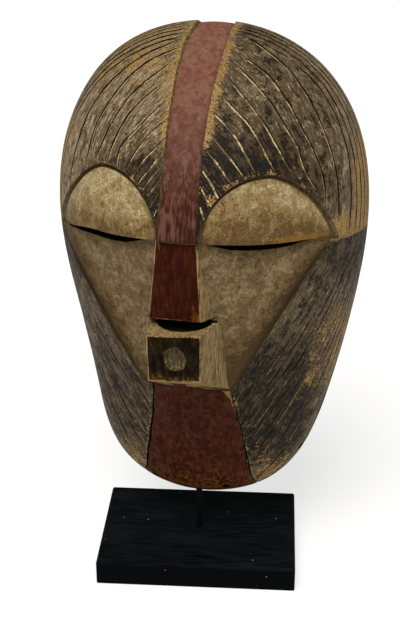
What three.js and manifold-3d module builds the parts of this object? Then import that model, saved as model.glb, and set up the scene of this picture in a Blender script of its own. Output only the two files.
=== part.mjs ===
// A carved and painted wooden face mask on its display stand, in millimetres with +Z up.
// The origin is the centre of the base's underside, and the face looks along -Y.
//
// The mask is made as a carver makes it: a half egg is hewn and hollowed, the cheeks are cut
// back so that the nose and mouth stand proud, the eyelids are let in, the band down the
// forehead is sunk, and rows of grooves are cut over the rest.
//
// The mask's own frame has x to the viewer's right, -y out of the face and z up along the
// back plane from the chin to the crown.

import * as THREE from 'three';
import { mergeVertices } from 'three/addons/utils/BufferGeometryUtils.js';
import Module from 'manifold-3d';

const wasm = await Module();
wasm.setup();

// The stand
const baseWidth = 152.4;
const baseDepth = 103.5;
const baseHeight = 21;
const baseEase = 3; // the sloped edge around the top
const rodDiameter = 5;
const rodSides = 16;
const socketDepth = 12;
const clearance = 0.3; // between the rod and the wood around it

// How the mask sits on the rod
const leanBack = 8; // degrees
const turnLeft = 8.4; // degrees, to the viewer's left
const chinHeight = 48.8; // the lowest point of the back plane
const planeBehindRod = 14.1; // the same point, behind the rod's axis

// The half egg at six heights, as fractions of the mask's height: how wide it is to the left and
// to the right of its middle, which aren't quite alike, and how deep
const maskHeight = 364;
const sectionPower = 1.9;
const stations = [
  { at: 0.03, left: 46.3, right: 45, depth: 22.1 },
  { at: 0.12, left: 75.1, right: 76.6, depth: 40.2 },
  { at: 0.3, left: 90.5, right: 98.2, depth: 70.6 },
  { at: 0.5, left: 105.9, right: 111.9, depth: 107.4 },
  { at: 0.72, left: 111.9, right: 113.3, depth: 114.2 },
  { at: 0.93, left: 75.9, right: 73.9, depth: 52.1 },
];
const eggRows = 18;
const eggColumns = 20;
const eggEnd = 0.0004; // where the egg is cut off flat at its two ends

// The hollow is the same egg, smaller
const hollowAcross = 0.885;
const hollowDeep = 0.8;
const hollowHigh = 0.93;
const hollowRows = 12;
const hollowColumns = 14;

// The brow line, where the lids end below and the cheeks and jaws begin. It sags near the rim.
const browHeight = 229;
const browSag = { left: { from: 60, to: 105, drop: 8 }, right: { from: 78, to: 102, drop: 3.2 } };
const browSteps = 8;

// The sunk band down the forehead
const bandSink = 2.4;
const bandCrown = 0.9; // how much its middle rises
const bandHalfWidths = [13.4, 12.4, 13.2, 15]; // evenly spaced from the brow to the crown

// The eyelids stand on the brow line. Their arc is a half ellipse that comes to more of a point
// at the outer end.
const lids = { left: { centre: 56, halfWidth: 41 }, right: { centre: 54.8, halfWidth: 39.7 } };
const lidRise = 41.8;
const lidOuterPower = 1.57;
const lidGroove = 1.2; // the gap around the lid's arc
const lidRecess = 6;
const lidSink = 2.8;
const lidBulge = 5;
const lidTurnsUnder = 1.4;
const slits = { left: { inner: 25, outer: 90 }, right: { inner: 20, outer: 86.5 } };
const slitDrop = 5;
const slitInLid = 0.2; // how far the slit runs up into the lid's lower edge

// The cheeks, each between the eye's outer corner, the jaw's corner and the nose's root
const eyeCorner = new THREE.Vector3(95, -63.8, browHeight);
const leftCornerOut = 4; // how much further out the left cheek runs
const jawCorner = new THREE.Vector3(31.5, -66.7, 110);
const noseRoot = new THREE.Vector3(14.5, -115, browHeight - 3);
const cheekFullness = 0.65; // how far the cheek rises from flat towards the egg at the jaw
const cheekStep = 1.2; // how far it stays under the egg at least
const cheekInLid = 0.2;

// The nose and the mouth block, each from a front face to a larger root inside the egg. The
// carver's cuts aren't quite even: the nose is narrower on the right, and the mouth rises there.
const noseTop = { z: browHeight + 2, front: 116.5, left: 13.4, right: 12.6, root: 100, rootHalf: 15 };
const noseFoot = { z: 173, front: 108.2, left: 20.4, right: 15.8, root: 78, rootHalf: 28 };
const noseBed = { halfWidth: 12, low: 178, under: 0.5 }; // the egg is cut back in front of the nose
const mouthTop = { z: 165, front: 121.7, left: 18.5, right: 18.5, root: 78, rootHalf: 28.5, rootZ: 173.5 };
const mouthFoot = { z: 130.6, front: 115.1, left: 18.2, right: 18.2, root: 58, rootHalf: 32, rootZ: 108 };
const mouthRise = 2.6; // across the front
const mouthTrim = 0.2; // the notch above takes this much off the mouth's upper edge
const philtrumDepth = 14;
const philtrumRise = 3;
const mouthHole = { topRadius: 7.6, bottomRadius: 3.4, depth: 8, proud: 1, sides: 16 };

// The chin panel's two border lines
const panelTop = { halfWidth: 30, z: 108 };
const panelFoot = { halfWidth: 43, z: 8 };

// The grooves, all V cuts
const grooveWidth = 3;
const grooveDepth = 1.7;
const grooveLip = 1.4; // how far the cut's two sides run on above the wood
const grooveSteps = 6;

// The forehead's grooves leave the band evenly spaced and turn down to the lid or the rim
const browGrooves = 15; // on each half
const bandEdgeAngle = 7; // degrees from the middle of the face
const browSweepPower = 2; // the higher a groove starts, the further it swings out

// The jaw's grooves run from the brow line, or from the rim below it, in to the chin panel
const jawGrooves = 8; // on each side
const jawGroovePitch = 11.5; // along the panel's edge
const firstJawAngle = 62; // degrees
const jawAnglePitch = 6;
const jawsFromBrow = 4; // the grooves after this one start on the rim
const jawRimPitch = 32;
const rimAngle = 89;

// Cutting tools run past the wood by this much
const overrun = 5;
const faceReach = 200;

// The small tying holes near the rim: where each one starts on the face
const tyingHoleDiameter = 6;
const tyingHoleReach = 60;
const tyingHoles = [
  { x: -35, z: 13 },
  { x: 22.5, z: 12 },
  { x: 77.3, z: 47.5 },
  { x: -75.3, z: 47.5 },
];

const radians = THREE.MathUtils.degToRad;

// A closed mesh through rings of points, with a fan of triangles over each end
function loft(rings) {
  const count = rings[0].length;
  const points = rings.flat();
  const faces = [];
  for (let row = 0; row + 1 < rings.length; row += 1) {
    for (let i = 0; i < count; i += 1) {
      const next = (i + 1) % count;
      const a = row * count + i;
      const b = row * count + next;
      faces.push([a, b, b + count], [a, b + count, a + count]);
    }
  }
  for (const [start, flip] of [[0, true], [(rings.length - 1) * count, false]]) {
    const centre = new THREE.Vector3();
    for (let i = 0; i < count; i += 1) centre.addScaledVector(points[start + i], 1 / count);
    points.push(centre);
    for (let i = 0; i < count; i += 1) {
      const pair = [start + i, start + (i + 1) % count];
      if (flip) pair.reverse();
      faces.push([...pair, points.length - 1]);
    }
  }
  const volume = faces.reduce((sum, [a, b, c]) => {
    return sum + points[a].dot(new THREE.Vector3().crossVectors(points[b], points[c]));
  }, 0);
  if (volume < 0) faces.forEach((face) => face.reverse());
  const geometry = new THREE.BufferGeometry().setFromPoints(points);
  geometry.setIndex(faces.flat());
  return geometry;
}

// A solid for joining and cutting, from any closed geometry
function solid(geometry) {
  const bare = geometry.clone();
  bare.deleteAttribute('normal');
  bare.deleteAttribute('uv');
  const merged = mergeVertices(bare, 1e-4);
  return new wasm.Manifold(new wasm.Mesh({
    numProp: 3,
    vertProperties: merged.attributes.position.array,
    triVerts: new Uint32Array(merged.index.array),
  }));
}

function geometryOf(body) {
  const { vertProperties, triVerts } = body.getMesh();
  const geometry = new THREE.BufferGeometry();
  geometry.setAttribute('position', new THREE.BufferAttribute(vertProperties, 3));
  geometry.setIndex(new THREE.BufferAttribute(triVerts, 1));
  geometry.computeVertexNormals();
  return geometry;
}

// A width or the depth of the egg at a fraction of its height. The square root closes the
// ends round, and the rest runs through the stations.
function profile(measure, at) {
  const roundEnd = (u) => Math.sqrt(Math.max(u * (1 - u), 0));
  let sum = 0;
  for (const station of stations) {
    let weight = 1;
    for (const other of stations) {
      if (other !== station) weight *= (at - other.at) / (station.at - other.at);
    }
    sum += weight * station[measure] / roundEnd(station.at);
  }
  return roundEnd(at) * sum;
}

const halfOf = (side) => (side < 0 ? 'left' : 'right');

// A point on the egg, from its height and its angle away from the middle of the face
function eggPoint(z, angle) {
  const at = THREE.MathUtils.clamp(z / maskHeight, eggEnd, 1 - eggEnd);
  const bend = (value) => Math.sign(value) * Math.abs(value) ** (2 / sectionPower);
  const x = profile(halfOf(angle), at) * bend(Math.sin(angle));
  const y = -profile('depth', at) * bend(Math.cos(angle));
  return new THREE.Vector3(x, y, at * maskHeight);
}

function eggAngle(x, z) {
  const share = THREE.MathUtils.clamp(x / profile(halfOf(x), z / maskHeight), -1, 1);
  return Math.asin(Math.sign(share) * Math.abs(share) ** (sectionPower / 2));
}

// How far the egg stands out over a point of its back plane
const eggDepth = (x, z) => -eggPoint(z, eggAngle(x, z)).y;

function browAt(x) {
  const { from, to, drop } = browSag[halfOf(x)];
  return browHeight - drop * THREE.MathUtils.smoothstep(Math.abs(x), from, to);
}

function eggNormal(z, angle) {
  const step = 0.01;
  const upward = eggPoint(z + 1, angle).sub(eggPoint(z - 1, angle));
  const around = eggPoint(z, angle + step).sub(eggPoint(z, angle - step));
  return around.cross(upward).normalize();
}

function eggGeometry(rows = eggRows, columns = eggColumns) {
  const rings = [];
  for (let row = 0; row <= rows; row += 1) {
    const z = maskHeight * (1 - Math.cos(Math.PI * row / rows)) / 2;
    const ring = [];
    for (let column = 0; column <= columns; column += 1) {
      ring.push(eggPoint(z, Math.PI * (column / columns - 0.5)));
    }
    rings.push(ring);
  }
  return loft(rings);
}

// Everything behind a surface that is given as a depth over the back plane
function behind(depthAt, { left, right, low, high, columns, rows }) {
  const rings = [];
  for (let row = 0; row <= rows; row += 1) {
    const z = THREE.MathUtils.lerp(low, high, row / rows);
    const ring = [new THREE.Vector3(right, overrun, z), new THREE.Vector3(left, overrun, z)];
    for (let column = 0; column <= columns; column += 1) {
      const x = THREE.MathUtils.lerp(left, right, column / columns);
      ring.push(new THREE.Vector3(x, -depthAt(x, z), z));
    }
    rings.push(ring);
  }
  return solid(loft(rings));
}

// A front-view outline of [x, z] points, run straight through the face
function through(outline) {
  const shape = new THREE.Shape(outline.map(([x, z]) => new THREE.Vector2(x, z)));
  const bar = new THREE.ExtrudeGeometry(shape, { depth: faceReach, bevelEnabled: false });
  bar.rotateX(Math.PI / 2);
  bar.translate(0, overrun, 0);
  return solid(bar);
}

const mirrored = (outline, side) => outline.map(([x, z]) => [side * x, z]);

// Points along the brow line on one side, from one distance from the middle to another, as the
// viewer's right half has them
function browLine(side, from, to, up = 0) {
  const line = [];
  for (let i = 0; i <= browSteps; i += 1) {
    const x = THREE.MathUtils.lerp(from, to, i / browSteps);
    line.push([x, browAt(side * x) + up]);
  }
  return line;
}

// A V cut along a path of { z, angle } places on the egg
function groove(path) {
  const points = path.map(({ z, angle }) => eggPoint(z, angle));
  const lipHalfWidth = (grooveWidth / 2) * (1 + grooveLip / grooveDepth);
  const rings = points.map((point, i) => {
    const normal = eggNormal(path[i].z, path[i].angle);
    const ahead = points[Math.min(i + 1, points.length - 1)];
    const along = ahead.clone().sub(points[Math.max(i - 1, 0)]).normalize();
    const across = along.cross(normal).multiplyScalar(lipHalfWidth);
    const lip = point.clone().addScaledVector(normal, grooveLip);
    const bottom = point.clone().addScaledVector(normal, -grooveDepth);
    return [lip.clone().add(across), bottom, lip.sub(across)];
  });
  return solid(loft(rings));
}

// The places along a curve from a start over a control to an end, each { z, angle }
function sweep(start, control, end) {
  const flat = ({ z, angle }) => new THREE.Vector2(angle, z);
  const curve = new THREE.QuadraticBezierCurve(flat(start), flat(control), flat(end));
  return curve.getPoints(grooveSteps).map(({ x, y }) => ({ angle: x, z: y }));
}

// The middle of the face from the brow up over the crown, measured along the wood
class Crest extends THREE.Curve {
  getPoint(share, target = new THREE.Vector3()) {
    const rise = Math.sin(share * Math.PI / 2);
    return target.copy(eggPoint(THREE.MathUtils.lerp(browHeight, maskHeight, rise), 0));
  }
}
const crest = new Crest();

// A groove on one side of the face, from a start over a control to an end
function sideGroove(side, start, control, end) {
  return groove(sweep(start, control, end).map(({ z, angle }) => ({ z, angle: side * angle })));
}

function foreheadGrooves(side) {
  const cuts = [];
  for (let i = 0; i < browGrooves; i += 1) {
    const share = (i + 0.75) / (browGrooves + 0.3); // of the way from the brow to the rim
    const swing = (rimAngle - bandEdgeAngle) * share ** browSweepPower;
    const endAngle = radians(bandEdgeAngle + swing);
    const endX = eggPoint(browHeight + 20, side * endAngle).x;
    const { centre, halfWidth } = lids[halfOf(side)];
    const inLid = 1 - ((Math.abs(endX) - centre) / halfWidth) ** 2;
    const endZ = browAt(endX) - 2 + 0.7 * lidRise * Math.sqrt(Math.max(inLid, 0));
    const startZ = crest.getPointAt(share).z;
    const startAngle = radians(bandEdgeAngle) * (1 + 2 * share ** 6); // the crown is narrow
    const fall = Math.max(0.75 - 1.1 * share ** 2, 0);
    const control = { z: THREE.MathUtils.lerp(startZ, endZ, fall), angle: endAngle };
    cuts.push(sideGroove(side, { z: startZ, angle: startAngle }, control, { z: endZ, angle: endAngle }));
  }
  return cuts;
}

function jawGroovesOn(side) {
  const cuts = [];
  const angleAt = (x, z) => side * eggAngle(side * x, z);
  for (let i = 0; i < jawGrooves; i += 1) {
    const endZ = panelTop.z - 5 - jawGroovePitch * i;
    const end = { z: endZ, angle: angleAt(panelEdge(endZ), endZ) };
    const startAngle = radians(Math.min(firstJawAngle + jawAnglePitch * i, rimAngle));
    const startX = side * eggPoint(browHeight, side * startAngle).x;
    const startZ = browAt(side * startX) - 3 - jawRimPitch * Math.max(i - jawsFromBrow, 0);
    const middleX = THREE.MathUtils.lerp(startX, panelEdge(endZ), 0.36);
    const middleZ = THREE.MathUtils.lerp(startZ, endZ, 0.62);
    const middle = { z: middleZ, angle: angleAt(middleX, middleZ) };
    cuts.push(sideGroove(side, { z: startZ, angle: startAngle }, middle, end));
  }
  return cuts;
}

// How far the chin panel's edge is from the middle
function panelEdge(z) {
  return THREE.MathUtils.mapLinear(z, panelTop.z, panelFoot.z, panelTop.halfWidth, panelFoot.halfWidth);
}

function panelLine(side) {
  const path = [];
  for (let i = 0; i <= grooveSteps; i += 1) {
    const z = THREE.MathUtils.lerp(panelTop.z + 6, panelFoot.z, i / grooveSteps);
    path.push({ z, angle: eggAngle(side * panelEdge(z), z) });
  }
  return groove(path);
}

// What is taken out for the band: a strip over the forehead and crown, a little hollow wide
function bandChannel() {
  const rings = [];
  const steps = 18;
  const strips = 4;
  const clear = 12; // above the wood and behind the rim
  for (let i = 0; i <= steps; i += 1) {
    const share = i / steps;
    const point = crest.getPoint(share);
    const normal = eggNormal(Math.min(point.z, maskHeight - 1), 0);
    if (i === steps) {
      normal.set(0, 0, 1);
      point.y = clear;
    }
    const place = share * (bandHalfWidths.length - 1);
    const before = Math.min(Math.floor(place), bandHalfWidths.length - 2);
    const half = THREE.MathUtils.lerp(bandHalfWidths[before], bandHalfWidths[before + 1], place - before);
    const ring = [];
    for (let j = 0; j <= strips; j += 1) {
      const across = 2 * j / strips - 1;
      const sink = -bandSink + bandCrown * (1 - across ** 2);
      ring.push(point.clone().addScaledVector(normal, sink).setX(half * across));
    }
    ring.push(point.clone().addScaledVector(normal, clear).setX(half));
    ring.push(point.clone().addScaledVector(normal, clear).setX(-half));
    rings.push(ring);
  }
  return solid(loft(rings));
}

// From the outer end over the arc, and back along the brow line
function lidOutline(side, margin) {
  const { centre, halfWidth } = lids[halfOf(side)];
  const outline = [];
  const steps = 16;
  for (let i = 0; i <= steps; i += 1) {
    const turn = Math.PI * i / steps;
    const bend = 2 * i < steps ? 2 / lidOuterPower : 1;
    const across = Math.sign(Math.cos(turn)) * Math.abs(Math.cos(turn)) ** bend;
    const x = centre + (halfWidth + margin) * across;
    outline.push([x, browAt(side * x) + (lidRise + margin) * Math.sin(turn) ** bend]);
  }
  const reach = halfWidth + margin;
  return [...outline, ...browLine(side, centre - reach, centre + reach).slice(1, -1)];
}

function lidArea(side) {
  const { centre, halfWidth } = lids[halfOf(side)];
  return {
    left: side * centre - halfWidth - 3,
    right: side * centre + halfWidth + 3,
    low: browHeight - browSag.left.drop - 3,
    high: browHeight + lidRise + 3,
    columns: 10,
    rows: 7,
  };
}

function lidRecessOn(side) {
  const floor = behind((x, z) => eggDepth(x, z) - lidRecess, lidArea(side));
  return through(mirrored(lidOutline(side, lidGroove), side)).subtract(floor);
}

function lidOn(side) {
  const { centre, halfWidth } = lids[halfOf(side)];
  const surface = (x, z) => {
    const across = (Math.abs(x) - centre) / halfWidth;
    const up = (z - browAt(x)) / lidRise - 0.45;
    const swell = Math.max(1 - across ** 2 - lidTurnsUnder * up ** 2, 0);
    return eggDepth(x, z) - lidSink + lidBulge * swell;
  };
  const bedDepth = (x, z) => eggDepth(x, z) - lidRecess - 3;
  const { low, high } = lidArea(side);
  const bed = behind(bedDepth, { ...lidArea(side), low: low - overrun, high: high + overrun });
  const outline = mirrored(lidOutline(side, 0), side);
  return through(outline).intersect(behind(surface, lidArea(side))).subtract(bed);
}

// Along the lid's lower edge, and bowed below
function slitOn(side) {
  const steps = 10;
  const { inner, outer } = slits[halfOf(side)];
  const outline = browLine(side, outer, inner, slitInLid);
  for (let i = 1; i < steps; i += 1) {
    const share = i / steps;
    const drop = slitDrop * Math.sin(Math.PI * share) ** 0.8;
    const x = THREE.MathUtils.lerp(inner, outer, share);
    outline.push([x, browAt(side * x) - drop]);
  }
  return through(mirrored(outline, side));
}

// The cheek is flat beside the nose and fuller towards the jaw
function cheekOn(side) {
  const flat = new THREE.Plane().setFromCoplanarPoints(eyeCorner, jawCorner, noseRoot);
  const floor = (x, z) => {
    const across = Math.abs(x);
    const flatDepth = (flat.constant + flat.normal.x * across + flat.normal.z * z) / flat.normal.y;
    const up = (z - jawCorner.z) / (eyeCorner.z - jawCorner.z);
    const inner = THREE.MathUtils.lerp(jawCorner.x, noseRoot.x, up);
    const outer = THREE.MathUtils.lerp(jawCorner.x, eyeCorner.x, up) + 1;
    const share = THREE.MathUtils.clamp((across - inner) / (outer - inner), 0, 1);
    const full = flatDepth + cheekFullness * share * Math.max(eggDepth(x, z) - flatDepth, 0);
    return Math.min(full, eggDepth(x, z) - cheekStep);
  };
  const near = noseRoot.x - 4; // under the nose's flank
  const far = eyeCorner.x + (side < 0 ? leftCornerOut : 0);
  const ends = [side * (near - overrun), side * (far + overrun)];
  const area = { left: Math.min(...ends), right: Math.max(...ends), columns: 10, rows: 9 };
  const body = behind(floor, { ...area, low: jawCorner.z - overrun, high: browHeight + overrun });
  const outline = [
    ...browLine(side, far, near, cheekInLid),
    [near, jawCorner.z],
    [jawCorner.x, jawCorner.z],
  ];
  return through(mirrored(outline, side)).subtract(body);
}

// A block between an upper and a lower edge, each with a front and a wider root
function block(upper, lower, rise = 0) {
  const ring = ({ z, front, left, right, root, rootHalf, rootZ = z }) => [
    new THREE.Vector3(-left, -front, z),
    new THREE.Vector3(right, -front, z + rise),
    new THREE.Vector3(rootHalf, -root, rootZ),
    new THREE.Vector3(-rootHalf, -root, rootZ),
  ];
  return solid(loft([ring(upper), ring(lower)]));
}

// What stands in front of the nose's face before the nose is joined on
function proudOfNose() {
  const ring = (z) => {
    const front = THREE.MathUtils.mapLinear(z, noseFoot.z, noseTop.z, noseFoot.front, noseTop.front);
    return [
      new THREE.Vector3(-noseBed.halfWidth, noseBed.under - front, z),
      new THREE.Vector3(noseBed.halfWidth, noseBed.under - front, z),
      new THREE.Vector3(noseBed.halfWidth, -front - overrun, z),
      new THREE.Vector3(-noseBed.halfWidth, -front - overrun, z),
    ];
  };
  return solid(loft([ring(browHeight), ring(noseBed.low)]));
}

// The notch between the nose and the mouth, a wedge that runs right across
function philtrum() {
  const root = -(noseFoot.front - philtrumDepth);
  const outside = -(mouthTop.front + overrun);
  const reach = noseFoot.rootHalf + overrun;
  const section = (x) => {
    const rise = THREE.MathUtils.mapLinear(x, -mouthTop.left, mouthTop.right, 0, mouthRise);
    const edge = mouthTop.z + rise - mouthTrim;
    return [
      new THREE.Vector3(x, outside, noseFoot.z),
      new THREE.Vector3(x, root, noseFoot.z),
      new THREE.Vector3(x, root, noseFoot.z - philtrumRise),
      new THREE.Vector3(x, -mouthTop.front, edge),
      new THREE.Vector3(x, outside, edge),
    ];
  };
  return solid(loft([section(-reach), section(reach)]));
}

// A shallow bowl in the mouth block's sloping front
function mouthBowl() {
  const tilt = Math.atan2(mouthTop.front - mouthFoot.front, mouthTop.z - mouthFoot.z);
  const { topRadius, bottomRadius, depth, sides, proud } = mouthHole;
  const bowl = new THREE.CylinderGeometry(topRadius, bottomRadius, depth + proud, sides);
  bowl.translate(0, (proud - depth) / 2, 0);
  bowl.rotateX(Math.PI + tilt);
  bowl.translate(0, -(mouthTop.front + mouthFoot.front) / 2, (mouthTop.z + mouthFoot.z + mouthRise) / 2);
  return solid(bowl);
}

function tyingHole({ x, z }) {
  const angle = eggAngle(x, z);
  const start = eggPoint(z, angle);
  const inward = eggNormal(z, angle).setY(-0.15).normalize(); // nearly along the back plane
  const pin = new THREE.CylinderGeometry(tyingHoleDiameter / 2, tyingHoleDiameter / 2, tyingHoleReach, 8);
  pin.applyQuaternion(new THREE.Quaternion().setFromUnitVectors(new THREE.Vector3(0, 1, 0), inward));
  pin.translate(start.x, start.y, start.z);
  return solid(pin);
}

// The mask's place: turned about the rod, then leant back behind it
const turned = new THREE.Group();
turned.position.z = chinHeight;
turned.rotation.z = -radians(turnLeft);
const leant = new THREE.Group();
leant.position.y = planeBehindRod;
leant.rotation.x = -radians(leanBack);
turned.add(leant);
turned.updateMatrixWorld(true);

// The rod's top stands in a blind hole in the roof of the hollow
const rodTop = chinHeight + 322;

function rodHole() {
  const radius = rodDiameter / 2 + clearance;
  const drill = new THREE.CylinderGeometry(radius, radius, rodTop + clearance, rodSides);
  drill.rotateX(Math.PI / 2);
  drill.translate(0, 0, (rodTop + clearance) / 2);
  drill.applyMatrix4(leant.matrixWorld.clone().invert());
  return solid(drill);
}

function hollow() {
  const egg = eggGeometry(hollowRows, hollowColumns);
  egg.scale(hollowAcross, hollowDeep, hollowHigh);
  egg.translate(0, 1, maskHeight * (1 - hollowHigh) / 2);
  return solid(egg);
}

function maskGeometry() {
  let body = solid(eggGeometry());
  const cut = (...tools) => tools.flat().forEach((tool) => { body = body.subtract(tool); });
  for (const side of [-1, 1]) {
    cut(foreheadGrooves(side), jawGroovesOn(side), panelLine(side));
    cut(cheekOn(side), lidRecessOn(side));
    body = body.add(lidOn(side));
  }
  cut(bandChannel(), proudOfNose());
  body = body.add(block(noseTop, noseFoot)).add(block(mouthTop, mouthFoot, mouthRise));
  cut(philtrum(), mouthBowl(), hollow(), rodHole());
  for (const side of [-1, 1]) cut(slitOn(side));
  cut(tyingHoles.map(tyingHole));
  return geometryOf(body);
}

function baseGeometry() {
  const ring = (inset, z) => [[-1, -1], [1, -1], [1, 1], [-1, 1]].map(([across, back]) => {
    return new THREE.Vector3(across * (baseWidth / 2 - inset), back * (baseDepth / 2 - inset), z);
  });
  const slab = solid(loft([ring(0, 0), ring(0, baseHeight - baseEase), ring(baseEase, baseHeight)]));
  const radius = rodDiameter / 2 + clearance;
  const socket = new THREE.CylinderGeometry(radius, radius, socketDepth + 1, rodSides);
  socket.rotateX(Math.PI / 2);
  socket.translate(0, 0, baseHeight + 0.5 - socketDepth / 2 - clearance);
  return geometryOf(slab.subtract(solid(socket)));
}

function rodGeometry() {
  const foot = baseHeight - socketDepth;
  const rod = new THREE.CylinderGeometry(rodDiameter / 2, rodDiameter / 2, rodTop - foot, rodSides);
  rod.rotateX(Math.PI / 2);
  rod.translate(0, 0, (rodTop + foot) / 2);
  return rod;
}

function piece(name, geometry, color, roughness, metalness = 0) {
  const mesh = new THREE.Mesh(geometry, new THREE.MeshStandardMaterial({ color, roughness, metalness }));
  mesh.name = name;
  return mesh;
}

leant.add(piece('mask', maskGeometry(), 0x6b5238, 0.75));
const stand = new THREE.Group();
stand.add(piece('base', baseGeometry(), 0x17181b, 0.6), piece('rod', rodGeometry(), 0x141415, 0.55, 0.6));
const maskOnStand = new THREE.Group();
maskOnStand.add(stand, turned);

export default maskOnStand;
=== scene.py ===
# A carved and painted wooden face mask on its display stand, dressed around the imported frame.
# The mask's own numbers are millimetres: x to the viewer's right, -y out of the face, and z up
# along the back plane from the chin. A place on its egg is a height z and an angle in degrees
# from the middle of the face.

import random
from math import asin, atan2, copysign, cos, degrees, hypot, pi, radians, sin, sqrt

import bmesh
import bpy
from mathutils import Matrix, Vector, geometry, kdtree, noise


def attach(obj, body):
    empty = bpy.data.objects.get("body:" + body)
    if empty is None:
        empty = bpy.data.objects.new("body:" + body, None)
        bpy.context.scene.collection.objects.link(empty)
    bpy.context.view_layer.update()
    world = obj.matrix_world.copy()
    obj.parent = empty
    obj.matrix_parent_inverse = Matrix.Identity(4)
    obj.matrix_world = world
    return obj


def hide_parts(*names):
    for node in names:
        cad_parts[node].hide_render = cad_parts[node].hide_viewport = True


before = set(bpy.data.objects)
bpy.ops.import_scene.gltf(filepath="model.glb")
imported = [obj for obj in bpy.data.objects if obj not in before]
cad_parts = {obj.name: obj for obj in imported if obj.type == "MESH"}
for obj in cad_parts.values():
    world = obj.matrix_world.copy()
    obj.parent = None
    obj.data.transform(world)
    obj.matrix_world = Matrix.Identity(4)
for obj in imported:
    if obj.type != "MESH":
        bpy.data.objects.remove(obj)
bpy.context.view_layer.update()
print("frame loaded")

# The view and the light

view = {
    "lens": 69.02,
    "azimuth": 3.63,
    "elevation": 25.6,
    "distance": 0.8868,
    "target": (0.00053, 0, 0.20695),
}
studio = {
    "world": 0.3,
    "floorTone": (240, 240, 240),
    "paperTones": ((152, 152, 152), (155, 155, 155)),
    "glow": 0.66,  # a light table, so that shadows stay faint
    "floorSize": 12,
    # where it comes from, how strong it is, how wide it looks in degrees, its tone
    "lights": [
        ((-0.25, -0.85, 1.6), 3.1, 34, (255, 253, 250)),
        ((1.5, -1.1, 0.8), 0.35, 50, (255, 250, 243)),
    ],
}


def tone(red, green, blue):
    # a colour as a picture shows it, made linear
    def linear(value):
        value /= 255
        return value / 12.92 if value <= 0.04045 else ((value + 0.055) / 1.055) ** 2.4

    return (linear(red), linear(green), linear(blue), 1)


def facing(place, target):
    # an object's matrix at a place, looking at a point
    back = (Vector(place) - Vector(target)).normalized()
    return Matrix.Translation(place) @ back.to_track_quat("Z", "Y").to_matrix().to_4x4()


def addObject(name, data):
    made = bpy.data.objects.new(name, data)
    bpy.context.scene.collection.objects.link(made)
    return made


def makeStudio():
    azimuth, elevation = radians(view["azimuth"]), radians(view["elevation"])
    away = Vector((sin(azimuth) * cos(elevation), -cos(azimuth) * cos(elevation), sin(elevation)))
    target = Vector(view["target"])
    lens = bpy.data.cameras.new("photoView")
    lens.lens = view["lens"]
    lens.clip_start = 0.01
    camera = addObject("photoView", lens)
    camera.matrix_world = facing(target + away * view["distance"], target)
    bpy.context.scene.camera = camera

    for i, (place, strength, width, colour) in enumerate(studio["lights"]):
        light = bpy.data.lights.new(f"softLight{i + 1}", "SUN")
        light.energy = strength
        light.angle = radians(width)
        light.color = tone(*colour)[:3]
        addObject(light.name, light).matrix_world = facing(place, (0, 0, 0))
    world = bpy.data.worlds.new("studioAir")
    world.use_nodes = True
    air = world.node_tree
    soft = air.nodes["Background"]
    soft.inputs["Color"].default_value = (1, 1, 1, 1)
    soft.inputs["Strength"].default_value = studio["world"]
    pale = air.nodes.new("ShaderNodeBackground")  # what the camera sees beyond the floor
    pale.inputs["Color"].default_value = tone(*studio["floorTone"])
    seen = air.nodes.new("ShaderNodeLightPath").outputs["Is Camera Ray"]
    choice = air.nodes.new("ShaderNodeMixShader")
    air.links.new(seen, choice.inputs[0])
    air.links.new(soft.outputs[0], choice.inputs[1])
    air.links.new(pale.outputs[0], choice.inputs[2])
    air.links.new(choice.outputs[0], air.nodes["World Output"].inputs["Surface"])
    bpy.context.scene.world = world
    bpy.context.scene.view_settings.view_transform = "Standard"

    bm = bmesh.new()
    bmesh.ops.create_grid(bm, x_segments=1, y_segments=1, size=studio["floorSize"] / 2)
    floor = addObject("floor", bpy.data.meshes.new("floor"))
    bm.to_mesh(floor.data)
    bm.free()
    paper = Finish("palePaper", 0.9)
    paper.colour(paper.mix(paper.noise(2), *(tone(*values) for values in studio["paperTones"])))
    paper.shader.inputs["Emission Color"].default_value = (1, 1, 1, 1)
    paper.shader.inputs["Emission Strength"].default_value = studio["glow"]
    floor.data.materials.append(paper.material)


# What every finish is made with

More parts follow.
